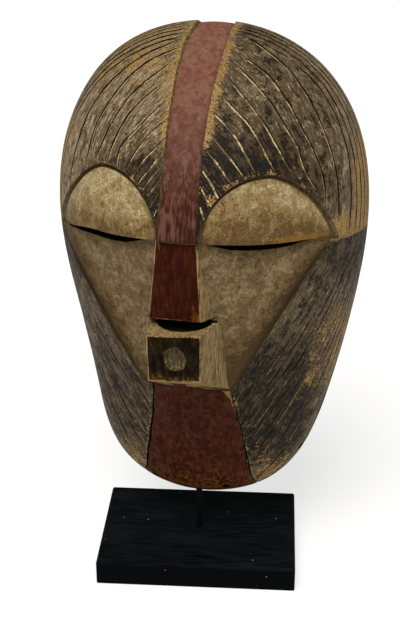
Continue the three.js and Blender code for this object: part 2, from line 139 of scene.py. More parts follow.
class Finish:
    # A material with short calls for its nodes. Lengths are millimetres in the piece's own frame.

    def __init__(self, name, roughness, turn=(0, 0, 0), gloss=0.5):
        self.material = bpy.data.materials.new(name)
        self.material.use_nodes = True
        self.tree = self.material.node_tree
        self.shader = self.tree.nodes["Principled BSDF"]
        self.shader.inputs["Roughness"].default_value = roughness
        self.shader.inputs["Specular IOR Level"].default_value = gloss
        self.draws = 0
        objectSpace = self.add("TexCoord").outputs["Object"]
        turned = self.add("Mapping", {"Vector": objectSpace, "Rotation": turn})
        scaled = self.add("Mapping", {"Vector": turned.outputs[0], "Scale": (1000, 1000, 1000)})
        self.place = scaled.outputs[0]

    def feed(self, socket, value):
        if isinstance(value, bpy.types.NodeSocket):
            self.tree.links.new(value, socket)
        else:
            socket.default_value = value

    def add(self, kind, inputs=None, **settings):
        made = self.tree.nodes.new("ShaderNode" + kind)
        for name, value in settings.items():
            setattr(made, name, value)
        for name, value in (inputs or {}).items():
            self.feed(made.inputs[name], value)
        return made

    def spread(self, size, stretch=(1, 1, 1)):
        # the piece's coordinates in steps of a size, away from every other pattern's
        self.draws += 1
        shift = (17.3 * self.draws, 9.1 * self.draws, 31.7 * self.draws)
        scale = tuple(1 / (size * share) for share in stretch)
        return self.add("Mapping", {"Vector": self.place, "Location": shift, "Scale": scale}).outputs[0]

    def noise(self, size, detail=4, rough=0.6, stretch=(1, 1, 1), warp=0.0):
        inputs = {"Vector": self.spread(size, stretch), "Scale": 1, "Detail": detail,
                  "Roughness": rough, "Distortion": warp}
        return self.add("TexNoise", inputs).outputs[0]

    def veins(self, size, width):
        # 1 on thin winding lines
        level = self.total((self.noise(size, 3, warp=0.8), 1), (1.0, -0.5))
        return self.fade(self.calc("ABSOLUTE", level), width, 0)

    def cells(self, size):
        return self.add("TexVoronoi", {"Vector": self.spread(size), "Scale": 1}).outputs["Distance"]

    def fade(self, value, low, high, start=0.0, end=1.0):
        inputs = {"Value": value, "From Min": low, "From Max": high, "To Min": start, "To Max": end}
        return self.add("MapRange", inputs, interpolation_type="SMOOTHSTEP").outputs[0]

    def calc(self, operation, first, second=0.0):
        settings = {"operation": operation, "use_clamp": operation == "SUBTRACT"}
        return self.add("Math", {0: first, 1: second}, **settings).outputs[0]

    def mix(self, share, below, above):
        return self.add("Mix", {0: share, 6: below, 7: above}, data_type="RGBA").outputs[2]

    def cover(self, below, above, low, high, *parts, most=1):
        # one colour over another, from none at a low sum of the parts to the most at a high one
        return self.mix(self.fade(self.total(*parts), low, high, 0, most), below, above)

    def drawn(self, name):
        # what the mesh says at each point
        return self.add("Attribute", attribute_name=name).outputs["Fac"]

    def strands(self, size, length, detail=4, rough=0.65):
        # a noise drawn out along the grooves
        self.draws += 1
        place = self.add("CombineXYZ", {"X": self.drawn("across"), "Y": self.drawn("along")}).outputs[0]
        inputs = {"Vector": place, "Location": (0, 0, 3.7 * self.draws),
                  "Scale": (1 / size, 1 / (size * length), 1)}
        inputs = {"Vector": self.add("Mapping", inputs).outputs[0], "Scale": 1, "Detail": detail,
                  "Roughness": rough}
        return self.add("TexNoise", inputs).outputs[0]

    def height(self):
        # up the piece, in millimetres
        return self.add("SeparateXYZ", {"Vector": self.place}).outputs["Z"]

    def total(self, *parts):
        # values added up, each by its weight
        result, *others = (self.calc("MULTIPLY", value, weight) for value, weight in parts)
        for part in others:
            result = self.calc("ADD", result, part)
        return result

    def edges(self, radius):
        # 1 on an edge, 0 on the flat
        soft = self.add("Bevel", {"Radius": radius / 1000}, samples=4).outputs[0]
        true = self.add("NewGeometry").outputs["Normal"]
        dot = self.add("VectorMath", {0: soft, 1: true}, operation="DOT_PRODUCT").outputs["Value"]
        return self.fade(self.calc("SUBTRACT", 1.0, dot), 0.02, 0.2)

    def colour(self, socket):
        self.feed(self.shader.inputs["Base Color"], socket)

    def shadeCorners(self, colour, cornerShade, reach, most):
        # the colour, darkened deep in its corners by an occlusion pass: painted shade
        shade = self.add("AmbientOcclusion", {"Distance": reach / 1000}, samples=6, only_local=True)
        self.colour(self.cover(colour, cornerShade, 0.95, 0.35, (shade.outputs["AO"], 1), most=most))

    def rough(self, share, low, high):
        self.feed(self.shader.inputs["Roughness"], self.fade(share, 0, 1, low, high))

    def relief(self, *parts):
        # the material, with each pattern standing out by a height
        normal = {}
        for pattern, height in parts:
            inputs = {"Height": pattern, "Distance": height / 1000, "Strength": 1, **normal}
            normal = {"Normal": self.add("Bump", inputs).outputs[0]}
        self.feed(self.shader.inputs["Normal"], normal["Normal"])
        return self.material


makeStudio()
print("view, lights and floor made")

# The mask's shape

mask = {
    "height": 364,
    "sectionPower": 1.9,
    "stations": [  # share of the height, width left and right of the middle, depth
        (0.03, 46.3, 45, 22.1), (0.12, 75.1, 76.6, 40.2), (0.3, 90.5, 98.2, 70.6),
        (0.5, 105.9, 111.9, 107.4), (0.72, 111.9, 113.3, 114.2), (0.93, 75.9, 73.9, 52.1),
    ],
    "endShare": 0.0004,
    "columns": 360, "rows": 190,
    "wander": 0.5,  # how far the carver's surface strays from the true egg
    "rimEase": 1.8,
    "chinHeight": 48.8, "behindRod": 14.1, "leanBack": 8, "turnLeft": 8.4,
    "browHeight": 229,
    # the brow line sags near the rim: from where, to where and how far
    "browSag": {"left": (60, 105, 8), "right": (78, 102, 3.2)},
}
hollow = {
    "across": 0.885, "deep": 0.8, "high": 0.93, "back": 1,
    "columns": 220, "rows": 120,
    "gougeWidth": 13, "gougeLength": 30, "gougeDepth": 0.9, "flare": 1.6,
}
band = {
    "sink": 2.4, "crown": 0.9, "clear": 12, "rows": 70, "columns": 14,
    # height, half width to the left and to the right of the middle
    "halfWidths": [(229, 15, 12.2), (256, 12, 13), (290, 12.5, 11.3), (328, 15, 10.8), (351, 15.5, 12),
                   (364, 12, 12.5)],
    "chamferLeft": (1.0, 4.2), "chamferRight": (0.5, 1.2),  # how wide the wall slopes, brow and crown
}
lid = {
    "spans": {"left": (56, 41), "right": (54.8, 39.7)},  # the middle of it and half its width
    "rise": 41.8, "outerPower": 1.57,
    # at the inner and at the outer end of the lid
    "sink": (1.6, 3.2), "gap": (0.6, 1.4), "wallSlope": (0.15, 0.8),
    "bulge": 4.6, "turnsUnder": 1.4, "bed": 1.6, "edgeRound": 1.5, "lowerRound": 0.8,
    "clear": 12, "root": 4, "columns": 44, "rows": 24,
}
slit = {
    "left": (24.5, 90.5), "right": (19.5, 85),  # where it starts and ends
    "open": {"left": 4.3, "right": 3},
    "drop": 1.4, "backOpen": 0.6, "reach": 16, "overlap": 0.15, "clear": 200, "columns": 40,
    "hidden": 0.31,  # how much more it opens for each millimetre that the lid stands out
}
cheek = {
    "eyeCorner": (95, 229, 63.8), "jawCorner": (31.5, 110, 66.7), "noseRoot": (14.5, 226, 115),
    "leftCornerOut": 4, "underNose": 4, "clear": 160,
    "fullness": 0.65, "step": 1.2, "columns": 40, "rows": 60, "wander": 0.5,
}
# each block from an upper to a lower edge: height, depth and half width in front and at the root
nose = {
    "top": (231, 116.5, (14.6, 13), 231, 100, 16), "foot": (173, 108.2, (20.4, 15.8), 173, 78, 28),
    "rise": 0, "edge": 0.8, "cuts": 14, "wander": 0.3,
    "bedFoot": 178, "bedHalf": 12, "bedClear": 30,
}
mouth = {
    "top": (165, 121.7, (18.5, 18.5), 173.5, 78, 28.5), "foot": (130.6, 115.1, (18.2, 18.2), 108, 58, 32),
    "rise": 2.6, "edge": 0.75, "cuts": 14, "wander": 0.35,
    "bowl": (7.8, 9.2, 7.5), "bowlAside": 0.6, "bowlRagged": 1.1,
}
philtrum = {
    "depth": 14, "rise": 3, "proud": 5, "dip": 3, "dipMiddle": 2, "dipReach": 19.5, "dipShare": 0.6,
    "columns": 66, "rows": 24,
}
panel = {
    "left": [(114, -25), (104, -26), (68, -32), (16, -43), (6, -45)],
    "right": [(114, 30.5), (106, 31), (73, 36), (18, 43), (6, 45.5)],
    "top": 128, "lineHeights": (113, 92, 68, 42, 20, 8), "lineWidth": 2.4, "lineDepth": 1.7, "seed": 5,
}
grooves = {
    "width": 2.5, "depth": 1.25, "lip": 1.5, "step": 3.2, "wobble": 0.6, "lean": 0.8, "fade": 9,
    "seed": 11,
    # the long ones on the forehead as (height, angle) places, left and right of the band
    "left": [
        [(352, 22), (341, 37), (323, 47), (302, 51), (271, 52), (259, 53)],
        [(348, 18), (335, 33), (317, 39), (297, 42), (272, 42)],
        [(339, 17), (323, 27), (308, 32), (289, 35), (276, 37)],
        [(328, 15), (311, 25), (294, 29), (274, 31)],
        [(316, 12), (300, 20), (285, 26), (273, 26)],
        [(306, 9), (291, 17), (272, 22)],
        [(295, 8), (280, 15), (268, 19)],
        [(287, 7.5), (276, 12), (265, 16)],
        [(279, 7), (270, 11), (261, 14)],
        [(270, 7.5), (258, 12)],
        [(260, 8), (250, 11)],
        [(250, 8), (242, 10)],
    ],
    "right": [
        [(356, 30), (349, 39), (338, 47), (326, 51), (304, 55), (273, 59), (240, 60)],
        [(345, 22), (332, 35), (319, 40), (305, 44), (290, 48), (271, 52), (254, 53)],
        [(340, 17), (329, 26), (317, 33), (302, 38), (290, 42), (277, 44), (262, 49)],
        [(333, 13), (321, 21), (312, 26), (300, 31), (287, 35), (271, 40)],
        [(321, 12), (315, 16), (306, 22), (295, 27), (285, 30), (275, 33)],
        [(311, 9), (301, 16), (290, 21), (275, 26)],
        [(299, 9), (288, 15), (280, 19), (273, 22)],
        [(288, 8.5), (280, 13), (268, 18)],
        [(276, 8), (268, 11), (259, 14)],
        [(265, 8), (253, 12)],
        [(254, 8), (243, 10)],
    ],
    # the ones around the rim above the brow, as shares of the depth of the innermost
    "rimShares": {"left": [1, 0.83, 0.66, 0.49, 0.33, 0.17], "right": [0.84, 0.68, 0.52, 0.36, 0.2]},
    "rimDepth": (24.5, 0.33),  # the innermost one's depth: at the crown, and more for each degree out
    "rimAngles": (2, 89.5), "rimSteps": 63, "rimReach": (5, 136), "clearOfBand": 3.5,
    "jawCount": 13, "jawRim": 4,
    # from the first to the last on the jaw: its angle at the brow, its bow and the height it ends at
    "jawOut": (55, 89), "jawBow": ((170, 94), (36, 72)), "jawEnd": (103, 11),
    # the same for those that start on the rim: heights and angles of the start, the bow and the end
    "jawRimBow": [((205, 100), (89.5, 89.5)), ((110, 50), (86, 86)), ((17, 8), (77, 85))],
}
tyingHoles = {"radius": 3, "reach": 60, "places": [(-35, 13), (22.5, 12), (77.3, 47.5), (-75.3, 47.5)]}
rodHole = {"radius": 2.8, "top": 371.1}

maskPlace = (
    Matrix.Scale(0.001, 4)
    @ Matrix.Translation((0, 0, mask["chinHeight"]))
    @ Matrix.Rotation(-radians(mask["turnLeft"]), 4, "Z")
    @ Matrix.Translation((0, mask["behindRod"], 0))
    @ Matrix.Rotation(-radians(mask["leanBack"]), 4, "X")
)


def lerp(a, b, share):
    return a + (b - a) * share


def between(pairs, share):
    return tuple(lerp(*pair, share) for pair in pairs)


def clamp(value, low=0.0, high=1.0):
    return max(low, min(high, value))


def ease(value, low, high):
    share = clamp((value - low) / (high - low))
    return share * share * (3 - 2 * share)


def fall(value, low, high):
    return 1 - ease(value, low, high)


def stray(place, size, seed=0.0):
    # smooth unevenness, from -1 to 1
    return noise.noise(Vector(place) / size + Vector((seed, 2.7 * seed, 5.1 * seed)))


def half(side):
    return "left" if side < 0 else "right"


profiles = {}


def profile(at):
    # the egg's widths to the left and to the right, and its depth, at a share of its height
    key = round(at, 6)
    if key not in profiles:
        sums = [0, 0, 0]
        for station in mask["stations"]:
            weight = 1
            for other in mask["stations"]:
                if other is not station:
                    weight *= (at - other[0]) / (station[0] - other[0])
            closing = sqrt(station[0] * (1 - station[0]))
            sums = [total + weight * station[i + 1] / closing for i, total in enumerate(sums)]
        profiles[key] = [total * sqrt(max(at * (1 - at), 0)) for total in sums]
    return profiles[key]


def shareAt(z):
    return clamp(z / mask["height"], mask["endShare"], 1 - mask["endShare"])


def eggPoint(z, angle):
    at = shareAt(z)
    left, right, depth = profile(at)
    bent = [copysign(abs(v) ** (2 / mask["sectionPower"]), v) for v in (sin(angle), cos(angle))]
    return Vector(((left if angle < 0 else right) * bent[0], -depth * bent[1], at * mask["height"]))


def eggAngle(x, z):
    left, right, _ = profile(shareAt(z))
    share = clamp(x / (left if x < 0 else right), -1, 1)
    return asin(copysign(abs(share) ** (mask["sectionPower"] / 2), share))


def eggDepth(x, z):
    return -eggPoint(z, eggAngle(x, z)).y


def browAt(x):
    start, end, drop = mask["browSag"][half(x)]
    return mask["browHeight"] - drop * ease(abs(x), start, end)


def sagged(z, angle):
    # a place above the brow line, brought down with it near the rim
    x = eggPoint(z, radians(angle)).x
    return z + (browAt(x) - mask["browHeight"]) * fall(z - mask["browHeight"], 0, 70), angle


def eggNormal(z, angle):
    z = clamp(z, 1.5, mask["height"] - 1.5)
    upward = eggPoint(z + 1, angle) - eggPoint(z - 1, angle)
    around = eggPoint(z, angle + 0.01) - eggPoint(z, angle - 0.01)
    return around.cross(upward).normalized()


def along(table, at, column=1):
    # a value between the rows of a table whose first column rises or falls
    rows = sorted(table)
    for before, after in zip(rows, rows[1:]):
        if at <= after[0]:
            share = clamp((at - before[0]) / (after[0] - before[0]))
            return lerp(before[column], after[column], share)
    return rows[-1][column]


def asPiece(name, bm, finishes):
    # an object from a bmesh, with its finishes
    data = bpy.data.meshes.new(name)
    bm.to_mesh(data)
    bm.free()
    for finish in finishes:
        data.materials.append(finish)
    return addObject(name, data)


def paintFaces(faces, finish):
    for face in faces:
        face.material_index = slotOf[finish]


def slab(bm, columns, rows, placeAt, lift, floorFinish, wallFinish=None):
    # A closed block between a floor and a top. Both are given over a grid from 0 to 1 both ways,
    # the floor at no lift and the top at its own.
    sheet = bmesh.ops.create_grid(bm, x_segments=columns, y_segments=rows, size=0.5)["verts"]
    floor = list({face for vert in sheet for face in vert.link_faces})
    raised = bmesh.ops.extrude_face_region(bm, geom=floor)["geom"]
    tops = [item for item in raised if isinstance(item, bmesh.types.BMVert)]
    paintFaces({face for vert in tops for face in vert.link_faces}, wallFinish or floorFinish)
    for face in floor:
        centre = face.calc_center_median()
        chosen = floorFinish
        if callable(floorFinish):
            chosen = floorFinish(centre.x + 0.5, centre.y + 0.5)
        face.material_index = slotOf[chosen]
    for verts, height in ((sheet, 0), (tops, lift)):
        for vert in verts:
            vert.co = placeAt(vert.co.x + 0.5, vert.co.y + 0.5, height)


def closeUp(bm):
    bmesh.ops.remove_doubles(bm, verts=bm.verts, dist=0.0005)
    bmesh.ops.recalc_face_normals(bm, faces=bm.faces)
    if bm.calc_volume(signed=True) < 0:
        bmesh.ops.reverse_faces(bm, faces=bm.faces)
    return bm


def slabTool(*grid):
    bm = bmesh.new()
    slab(bm, *grid)
    return closeUp(bm)


def easeEdges(bm, edges, width, segments, **more):
    return bmesh.ops.bevel(bm, geom=edges, offset=width, offset_type="OFFSET", segments=segments,
                           profile=0.5, affect="EDGES", material=-1, **more)["faces"]


def sharpEdges(bm):
    return [edge for edge in bm.edges if edge.calc_face_angle(0) > 1.2]


def uprightBar(radius, foot, top, segments):
    bm = bmesh.new()
    bmesh.ops.create_cone(bm, cap_ends=True, segments=segments, radius1=radius, radius2=radius,
                          depth=top - foot)
    bmesh.ops.translate(bm, vec=(0, 0, (top + foot) / 2), verts=bm.verts)
    return bm


def settle(piece, place, angle):
    # in the frame, and smooth but for its edges
    piece.data.transform(place)
    piece.data.shade_smooth()
    piece.data.set_sharp_from_angle(angle=radians(angle))
    return piece


def carve(body, bm, operation="DIFFERENCE"):
    # cuts a tool out of the body, or joins it on, with the tool's finish on what it leaves
    tool = asPiece("tool", bm, body.data.materials)
    step = body.modifiers.new("carving", "BOOLEAN")
    step.object = tool
    step.operation = operation
    step.solver = "MANIFOLD"
    step.material_mode = "TRANSFER"
    graph = bpy.context.evaluated_depsgraph_get()
    result = bpy.data.meshes.new_from_object(body.evaluated_get(graph))
    body.modifiers.clear()
    body.data = result
    bpy.data.objects.remove(tool)


def outward(place):
    # from the middle of the back plane towards the rim
    return Vector((place.x, 0, place.z - mask["height"] / 2)).normalized()


def eggMesh(sizes, placeAt):
    # a closed mesh whose points lie where each height and angle is put
    bm = bmesh.new()
    bmesh.ops.create_uvsphere(bm, u_segments=sizes["columns"], v_segments=sizes["rows"], radius=1)
    for vert in bm.verts:
        vert.co = placeAt(mask["height"] * (1 + vert.co.z) / 2, atan2(vert.co.x, -vert.co.y))
    return closeUp(bm)


def blankMesh():
    # the egg, a little uneven, and drawn in where the rim will be eased
    def placeAt(z, angle):
        place = eggPoint(z, angle)
        inward = mask["wander"] * (0.5 + 0.5 * stray(place, 38) + 0.25 * stray(place, 13, 3))
        inward *= clamp(-place.y / 6)
        near = clamp(1 - abs(place.y) / mask["rimEase"])
        return place - eggNormal(z, angle) * inward - outward(place) * mask["rimEase"] * 0.7 * near ** 2

    return eggMesh(mask, placeAt)


def backTool():
    # everything behind the back plane
    bm = bmesh.new()
    cube = bmesh.ops.create_cube(bm, size=400)["verts"]
    bmesh.ops.translate(bm, vec=(0, 200, mask["height"] / 2), verts=cube)
    paintFaces(bm.faces, "bareInside")
    return closeUp(bm)


def hollowTool():
    # a smaller egg, gouged all over, that flares a little at the rim
    centre = Vector((0, 0, mask["height"] / 2))
    sizes = Vector((hollow["across"], hollow["deep"], hollow["high"]))

    def placeAt(z, angle):
        place = eggPoint(z, angle) - centre
        place = Vector(a * b for a, b in zip(place, sizes)) + centre + Vector((0, hollow["back"], 0))
        gouge = Vector((place.x, place.y, place.z * hollow["gougeWidth"] / hollow["gougeLength"]))
        near = noise.voronoi(gouge / hollow["gougeWidth"])[0][0]
        place -= eggNormal(z, angle) * hollow["gougeDepth"] * (near - 0.3)
        flare = clamp(1 + (place.y - 0.5) / 2, 0, 3) * hollow["flare"] / 2
        return place + outward(place) * flare

    bm = eggMesh(hollow, placeAt)
    paintFaces(bm.faces, "bareInside")
    return bm


def curveThrough(anchors, step):
    # evenly spaced (height, angle) places on a smooth curve through a few, angles in radians
    flat = [Vector((radians(angle) * 100, z)) for z, angle in anchors]
    flat = [flat[0] * 2 - flat[1]] + flat + [flat[-1] * 2 - flat[-2]]
    places = []
    for i in range(1, len(flat) - 2):
        before, start, end, after = flat[i - 1:i + 3]
        count = max(int((end - start).length / step), 2)
        curve = geometry.interpolate_bezier(
            start.to_3d(), (start + (end - before) / 6).to_3d(),
            (end - (after - start) / 6).to_3d(), end.to_3d(), count + 1)
        places += curve if i == len(flat) - 3 else curve[:-1]
    return [(place.y, place.x / 100) for place in places]


def addGroove(bm, path, width, depth, draw, litFinish="litCut", fadeStart=True, fadeEnd=True):
    # a V cut along (height, angle) places, a little wavering, one wall raw and the other, which faces down,
    # near-black as painted shade
    seed = draw.uniform(0, 90)
    last = len(path) - 1
    length = grooves["step"] * last
    points = [eggPoint(*place) for place in path]
    normals = [eggNormal(*place) for place in path]
    sides = []
    for i, normal in enumerate(normals):
        ahead = (points[min(i + 1, last)] - points[max(i - 1, 0)]).normalized()
        sides.append(ahead.cross(normal).normalized())
    upper = sum(side.z for side in sides) > 0  # which side of the cut is the upper one
    lean = grooves["lean"] if litFinish == "litCut" else 0

    def placeAt(column, row, lift):
        i = round(row * last)
        here = i / max(last, 1) * length
        start = clamp(here / grooves["fade"]) if fadeStart else 1
        end = clamp((length - here) / grooves["fade"]) if fadeEnd else 1
        swell = (0.45 + 0.55 * min(start, end)) * (1 + 0.3 * stray((here, 0, 0), 11, seed))
        # the bottom is nearer to the upper wall where the cut leans
        across = (lean if upper else -lean) * width / 2 * swell
        high = -depth * swell
        if abs(column - 0.5) > 0.25:
            edge = (2 * column - 1) * width / 2 * swell
            across = edge + (edge - across) * grooves["lip"] / (depth * swell)
            high = grooves["lip"]
        across += grooves["wobble"] * stray((here, 5, 0), 9, seed)
        return points[i] + normals[i] * (lift or high) + sides[i] * across

    # the upper wall faces down and takes the near-black painted shade
    def finish(column, row):
        return "darkCut" if (column > 0.5) == upper else litFinish

    slab(bm, 2, last, placeAt, grooves["lip"] + 1, finish, "darkCut")


def bandEdge(side, z):
    # the band's half width on a side of the middle
    return along(band["halfWidths"], z, 1 if side < 0 else 2)


def rimPath(side, share):
    # around the rim above the brow, at a share of the innermost one's depth
    crown, more = grooves["rimDepth"]
    places = []
    for i in range(grooves["rimSteps"] + 1):
        out = lerp(*grooves["rimAngles"], i / grooves["rimSteps"])
        depth = share * (crown + more * out)
        low, high = grooves["rimReach"]
        for _ in range(26):  # halved until it is exact
            reach = (low + high) / 2
            x, z = reach * sin(radians(out)), mask["browHeight"] + reach * cos(radians(out))
            inside = z < mask["height"] - 0.2 and x < profile(z / mask["height"])[0 if side < 0 else 1]
            if inside and eggDepth(side * x, z) > depth:
                low = reach
            else:
                high = reach
        edge = bandEdge(side, z) + grooves["clearOfBand"]
        if x > edge and z < mask["height"] - 1:
            places.append(sagged(z, degrees(eggAngle(side * x, z))))
    thin = places[::5] + [places[-1]]
    return thin if thin[-1] != thin[-2] else thin[:-1]


def panelX(side, z):
    return along(panel[half(side)], z)


def bowed(side, start, control, end, count):
    # (height, angle) places on a bow from a start to an end
    places = []
    for i in range(count):
        t = i / (count - 1)
        height, angle = ((1 - t) ** 2 * a + 2 * t * (1 - t) * b + t * t * c
                         for a, b, c in zip(start, control, end))
        places.append((height, side * angle))
    return places


def jawPath(side, share):
    # from the brow line down and in to the chin panel, the further out the lower it ends
    endZ = lerp(*grooves["jawEnd"], share)
    end = (endZ, abs(degrees(eggAngle(panelX(side, endZ) + 1.6 * side, endZ))))
    out = lerp(*grooves["jawOut"], share ** 0.75)
    start = (browAt(eggPoint(mask["browHeight"], side * radians(out)).x) - 2, out)
    return bowed(side, start, between(grooves["jawBow"], share), end, 7)


def jawRimPath(side, share):
    # close to the rim below the brow, for the ones that start on it
    return bowed(side, *(between(pairs, share) for pairs in grooves["jawRimBow"]), 6)


def grooveTools():
    draw = random.Random(grooves["seed"])
    bm = bmesh.new()

    def cut(anchors, width, depth, **fades):
        path = curveThrough(anchors, grooves["step"])
        addGroove(bm, path, width, depth, draw, **fades)

    for side in (-1, 1):
        for anchors in grooves[half(side)]:
            turned = [sagged(z, side * angle) for z, angle in anchors]
            cut(turned, grooves["width"] * draw.uniform(0.85, 1.1), grooves["depth"])
        for share in grooves["rimShares"][half(side)]:
            slim = lerp(0.65, 0.9, share)
            cut(rimPath(side, share), grooves["width"] * slim, grooves["depth"] * slim)
        for i in range(grooves["jawCount"]):
            share = (i + 0.55 + draw.uniform(-0.12, 0.12)) / grooves["jawCount"]
            slim = draw.uniform(0.6, 0.85)
            cut(jawPath(side, share), grooves["width"] * slim, grooves["depth"] * slim,
                litFinish="jawCut", fadeEnd=False)
        for i in range(grooves["jawRim"]):
            cut(jawRimPath(side, i / grooves["jawRim"]), grooves["width"] * 0.6, grooves["depth"] * 0.6,
                litFinish="jawCut")
    return closeUp(bm)


def panelLines():
    draw = random.Random(panel["seed"])
    bm = bmesh.new()
    for side in (-1, 1):
        anchors = [(z, degrees(eggAngle(panelX(side, z), z))) for z in panel["lineHeights"]]
        path = curveThrough(anchors, grooves["step"])
        addGroove(bm, path, panel["lineWidth"], panel["lineDepth"], draw, "jawCut", fadeStart=False,
                  fadeEnd=False)
    return closeUp(bm)


def cheekDepth(x, z):
    # flat beside the nose, fuller towards the jaw
    a, b, c = (Vector((corner[0], -corner[2], corner[1])) for corner in
               (cheek["eyeCorner"], cheek["jawCorner"], cheek["noseRoot"]))
    normal = (b - a).cross(c - a)
    across = abs(x)
    flat = (normal.x * (across - a.x) + normal.z * (z - a.z)) / normal.y - a.y
    up = (z - b.z) / (a.z - b.z)
    inner = lerp(b.x, c.x, up)
    outer = lerp(b.x, a.x, up) + 1
    share = clamp((across - inner) / (outer - inner))
    full = flat + cheek["fullness"] * share * max(eggDepth(x, z) - flat, 0)
    full += cheek["wander"] * (0.6 * stray((x, z, 0), 21, 8) + 0.4 * stray((x, z, 0), 8, 4))
    return min(full, eggDepth(x, z) - cheek["step"])


def cheekTool(side):
    near = cheek["noseRoot"][0] - cheek["underNose"]
    jaw, low, _ = cheek["jawCorner"]
    far = cheek["eyeCorner"][0] + (cheek["leftCornerOut"] if side < 0 else 0)

    def placeAt(column, row, lift):
        x = lerp(near, lerp(jaw, far, row), column) * side
        z = lerp(low, browAt(x), row)
        return Vector((x, -(lift or cheekDepth(x, z)), z))

    return slabTool(cheek["columns"], cheek["rows"], placeAt, cheek["clear"], "cheek", "oldStep")


def lidPlace(side, column, row, height=None):
    # Over the half ellipse, with its rows closer together near the arc. The recess around the
    # lid is a little wider, and wider still at a height above its floor.
    turn = pi * (1 - column)
    up = sin(row * pi / 2)
    margin = 0
    if height is not None:
        margin = lerp(*lid["gap"], column) + height * lerp(*lid["wallSlope"], column)
    centre, halfWidth = lid["spans"][half(side)]
    bend = 2 / lid["outerPower"] if column > 0.5 else 1
    x = side * (centre + (halfWidth + margin) * copysign(abs(cos(turn)) ** bend, cos(turn)))
    return x, browAt(x) + (lid["rise"] + margin) * abs(sin(turn)) ** bend * up


def lidAcross(x):
    # -1 at the lid's inner end, 1 at its outer end
    centre, halfWidth = lid["spans"][half(x)]
    return (abs(x) - centre) / halfWidth


def lidReach(x, z):
    # 1 on the lid's arc, less inside it
    across = lidAcross(x)
    power = lid["outerPower"] if across > 0 else 2
    up = max(z - browAt(x), 0) / lid["rise"]
    return (abs(across) ** power + up ** power) ** (1 / power)


def lidSink(x):
    return lerp(*lid["sink"], clamp(lidAcross(x) / 2 + 0.5))


def recessTool(side):
    def placeAt(column, row, lift):
        x, z = lidPlace(side, column, row, lift)
        return Vector((x, lidSink(x) + lid["bed"] - eggDepth(x, z) - lift, z))

    return slabTool(lid["columns"], lid["rows"], placeAt, lid["clear"], "oldStep")


def lidTool(side):
    def placeAt(column, row, lift):
        x, z = lidPlace(side, column, row)
        if lift:  # its root, behind the recess's floor
            return Vector((x, lidSink(x) + lid["bed"] + lift - eggDepth(x, z), z))
        height = z - browAt(x)
        swell = max(1 - lidAcross(x) ** 2 - lid["turnsUnder"] * (height / lid["rise"] - 0.45) ** 2, 0)
        toArc = (1 - clamp(lidReach(x, z))) * lid["rise"]
        rounding = lid["edgeRound"] * clamp(1 - toArc / 4.5) ** 2
        rounding += lid["lowerRound"] * clamp(1 - height / 7) ** 2
        unevenness = 0.3 * stray((x, z, 0), 12, 6)
        front = lidSink(x) - lid["bulge"] * swell + rounding + unevenness
        return Vector((x, front - eggDepth(x, z), z))

    return slabTool(lid["columns"], lid["rows"], placeAt, lid["root"], "eyelid")


def slitTool(side):
    # Bowed below, and by more where the lid stands out over the cheek and hides the most. It runs
    # down a little towards the nose and closes up a short way behind the cheek. Its walls are near-black
    # painted shade.
    inner, outer = slit[half(side)]

    def placeAt(column, row, lift):
        x = side * lerp(inner, outer, column)
        brow = browAt(x) - slit["drop"] * (1 - column) ** 2
        swell = max(1 - lidAcross(x) ** 2 - lid["turnsUnder"] * 0.45 ** 2, 0)
        lidFront = eggDepth(x, brow) - lidSink(x) + lid["bulge"] * swell - lid["lowerRound"]
        cheekFront = cheekDepth(x, brow - 3)
        bow = slit["open"][half(side)] * max(sin(pi * column), 0) ** 0.8
        bow += slit["hidden"] * max(lidFront - cheekFront, 0) * ease(min(column, 1 - column), 0, 0.25)
        back = slit["backOpen"]
        y = slit["reach"] - cheekFront
        if lift:  # so that the bow is right at the cheek
            share = slit["reach"] / (lift + y)
            bow = (bow - back * (1 - share)) / share
            y = -lift
        else:
            bow = back
        return Vector((x, y, brow + slit["overlap"] - bow * (1 - row)))

    return slabTool(slit["columns"], 1, placeAt, slit["clear"], "darkCut")


def noseBed():
    # what stands in front of the nose's face, so that its paint shows whole
    def placeAt(column, row, lift):
        z = lerp(nose["bedFoot"], mask["browHeight"], row)
        share = (nose["top"][0] - z) / (nose["top"][0] - nose["foot"][0])
        front = lerp(nose["top"][1], nose["foot"][1], share) - 1
        return Vector((lerp(-nose["bedHalf"], nose["bedHalf"], column), -front - lift, z))

    return slabTool(4, 10, placeAt, nose["bedClear"], "sideWood")


def bandTool():
    def placeAt(column, row, lift):
        z = lerp(mask["browHeight"], mask["height"], sin(row * pi / 2))
        point, normal = eggPoint(z, 0), eggNormal(z, 0)
        if row > 1 - 0.5 / band["rows"]:  # the last row is straight over the crown
            point, normal = Vector((0, band["clear"], point.z)), Vector((0, 0, 1))
        across = 2 * column - 1
        edge = bandEdge(across, z)
        if lift:
            slope = lerp(*(band["chamferLeft"] if across < 0 else band["chamferRight"]), row)
            edge += slope * (lift + band["sink"]) / band["sink"]
        sink = -band["sink"] + band["crown"] * (1 - across ** 2) + 0.2 * stray((across, z, 0), 14, 2)
        place = point + normal * (lift or sink)
        place.x = edge * across
        return place

    return slabTool(band["columns"], band["rows"], placeAt, band["clear"], "bandRose", "oldStep")


